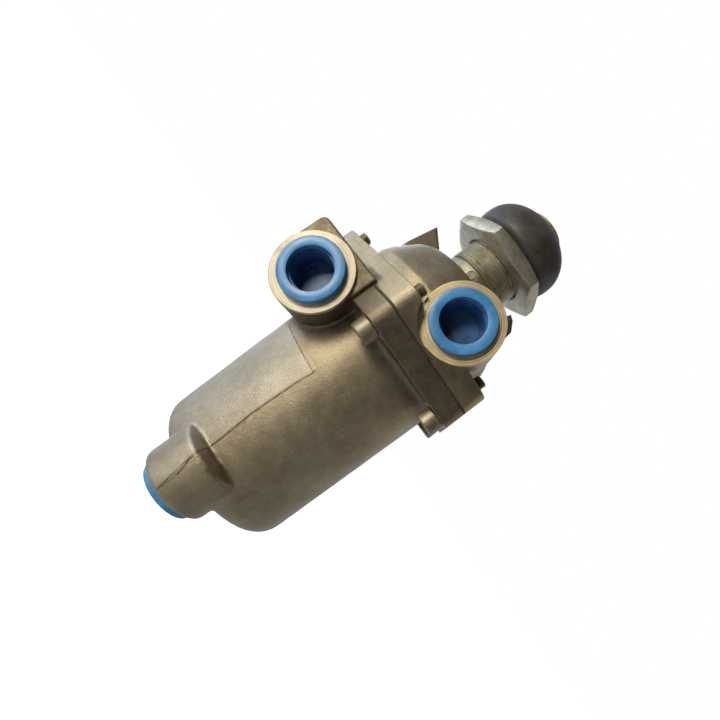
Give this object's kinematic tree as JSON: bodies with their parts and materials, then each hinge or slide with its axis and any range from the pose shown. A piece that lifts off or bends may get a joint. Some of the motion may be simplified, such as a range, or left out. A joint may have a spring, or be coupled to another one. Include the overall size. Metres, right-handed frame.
{
  "type": "foot brake valve",
  "caption": "Foot-operated air brake valve: cast housing, flanged domed bonnet, side and end ports with thread protectors, threaded neck, lock nut and booted plunger.",
  "frame": {"origin": "on the axis of the threaded neck, at the tips of the bonnet's two ribs, where the floor plate seats", "axes": "+Z along the plunger's axis towards the plunger's end, -Y the way that the delivery and exhaust ports face"},
  "size_m": [0.0947, 0.1068, 0.2064],
  "materials": {
    "casting": "sand-cast aluminium alloy with a warm grey tint, fine grain, machined port faces",
    "gasket": "dark fibre gasket sheet",
    "screws": "zinc-plated and passivated steel",
    "sleeve": "yellow-passivated turned steel with a cut thread",
    "nut": "zinc-plated steel, dulled",
    "boot": "matt black rubber with a dusty brown bloom",
    "seals": "black nitrile rubber",
    "plunger": "yellow-passivated end with a satin gloss",
    "steel": "oiled spring steel",
    "brass": "turned brass",
    "protectors": "blue moulded polyethylene"
  },
  "bodies": {
    "valve_body": {"lower_housing": "casting", "bonnet": "casting", "flange_gasket": "gasket", "flange_screw_1": "screws", "flange_screw_2": "screws", "flange_screw_3": "screws", "flange_screw_4": "screws", "flange_screw_5": "screws", "flange_screw_6": "screws", "neck_sleeve": "sleeve", "neck_pin": "steel", "rubber_boot": "boot", "inlet_seat_insert": "brass", "seat_o_ring": "seals", "seat_retaining_ring": "steel", "valve_guide": "brass", "guide_retaining_ring": "steel", "return_spring": "steel", "valve_spring": "steel"},
    "plunger": {"plunger_button": "plunger", "plunger_circlip": "steel", "push_rod": "steel", "spring_seat": "steel"},
    "piston_group": {"piston": "casting", "piston_seal": "seals", "graduating_spring": "steel"},
    "valve_group": {"inlet_valve": "brass", "valve_facing": "seals"},
    "nut": {"lock_nut": "nut"},
    "delivery_plug": {"delivery_port_plug": "protectors"},
    "exhaust_plug": {"exhaust_port_plug": "protectors"},
    "supply_plug": {"supply_port_plug": "protectors"}
  },
  "joints": [
    {"name": "plunger_slide", "type": "slide", "parent": "valve_body", "child": "plunger", "axis": [0, 0, 1], "range_m": [-0.008, 0], "stiffness_N_per_m": 8000, "springref_m": 0.002, "deforming": ["rubber_boot", "graduating_spring"]},
    {"name": "piston_slide", "type": "slide", "parent": "valve_body", "child": "piston_group", "axis": [0, 0, 1], "range_m": [-0.0032, 0], "deforming": ["return_spring"]},
    {"name": "inlet_valve_slide", "type": "slide", "parent": "valve_body", "child": "valve_group", "axis": [0, 0, 1], "range_m": [-0.0012, 0], "deforming": ["valve_spring"]},
    {"name": "nut_slide", "type": "slide", "parent": "valve_body", "child": "nut", "axis": [0, 0, 1], "range_m": [-0.0065, 0]},
    {"name": "delivery_plug_slide", "type": "slide", "parent": "valve_body", "child": "delivery_plug", "axis": [0, -1, 0], "range_m": [0, 0.015]},
    {"name": "exhaust_plug_slide", "type": "slide", "parent": "valve_body", "child": "exhaust_plug", "axis": [0, -1, 0], "range_m": [0, 0.015]},
    {"name": "supply_plug_slide", "type": "slide", "parent": "valve_body", "child": "supply_plug", "axis": [0, 0, -1], "range_m": [0, 0.015]}
  ],
  "couplings": [
    {"joint": "piston_slide", "follows": "plunger_slide", "ratio": 0.4},
    {"joint": "inlet_valve_slide", "follows": "plunger_slide", "ratio": 0.15}
  ]
}
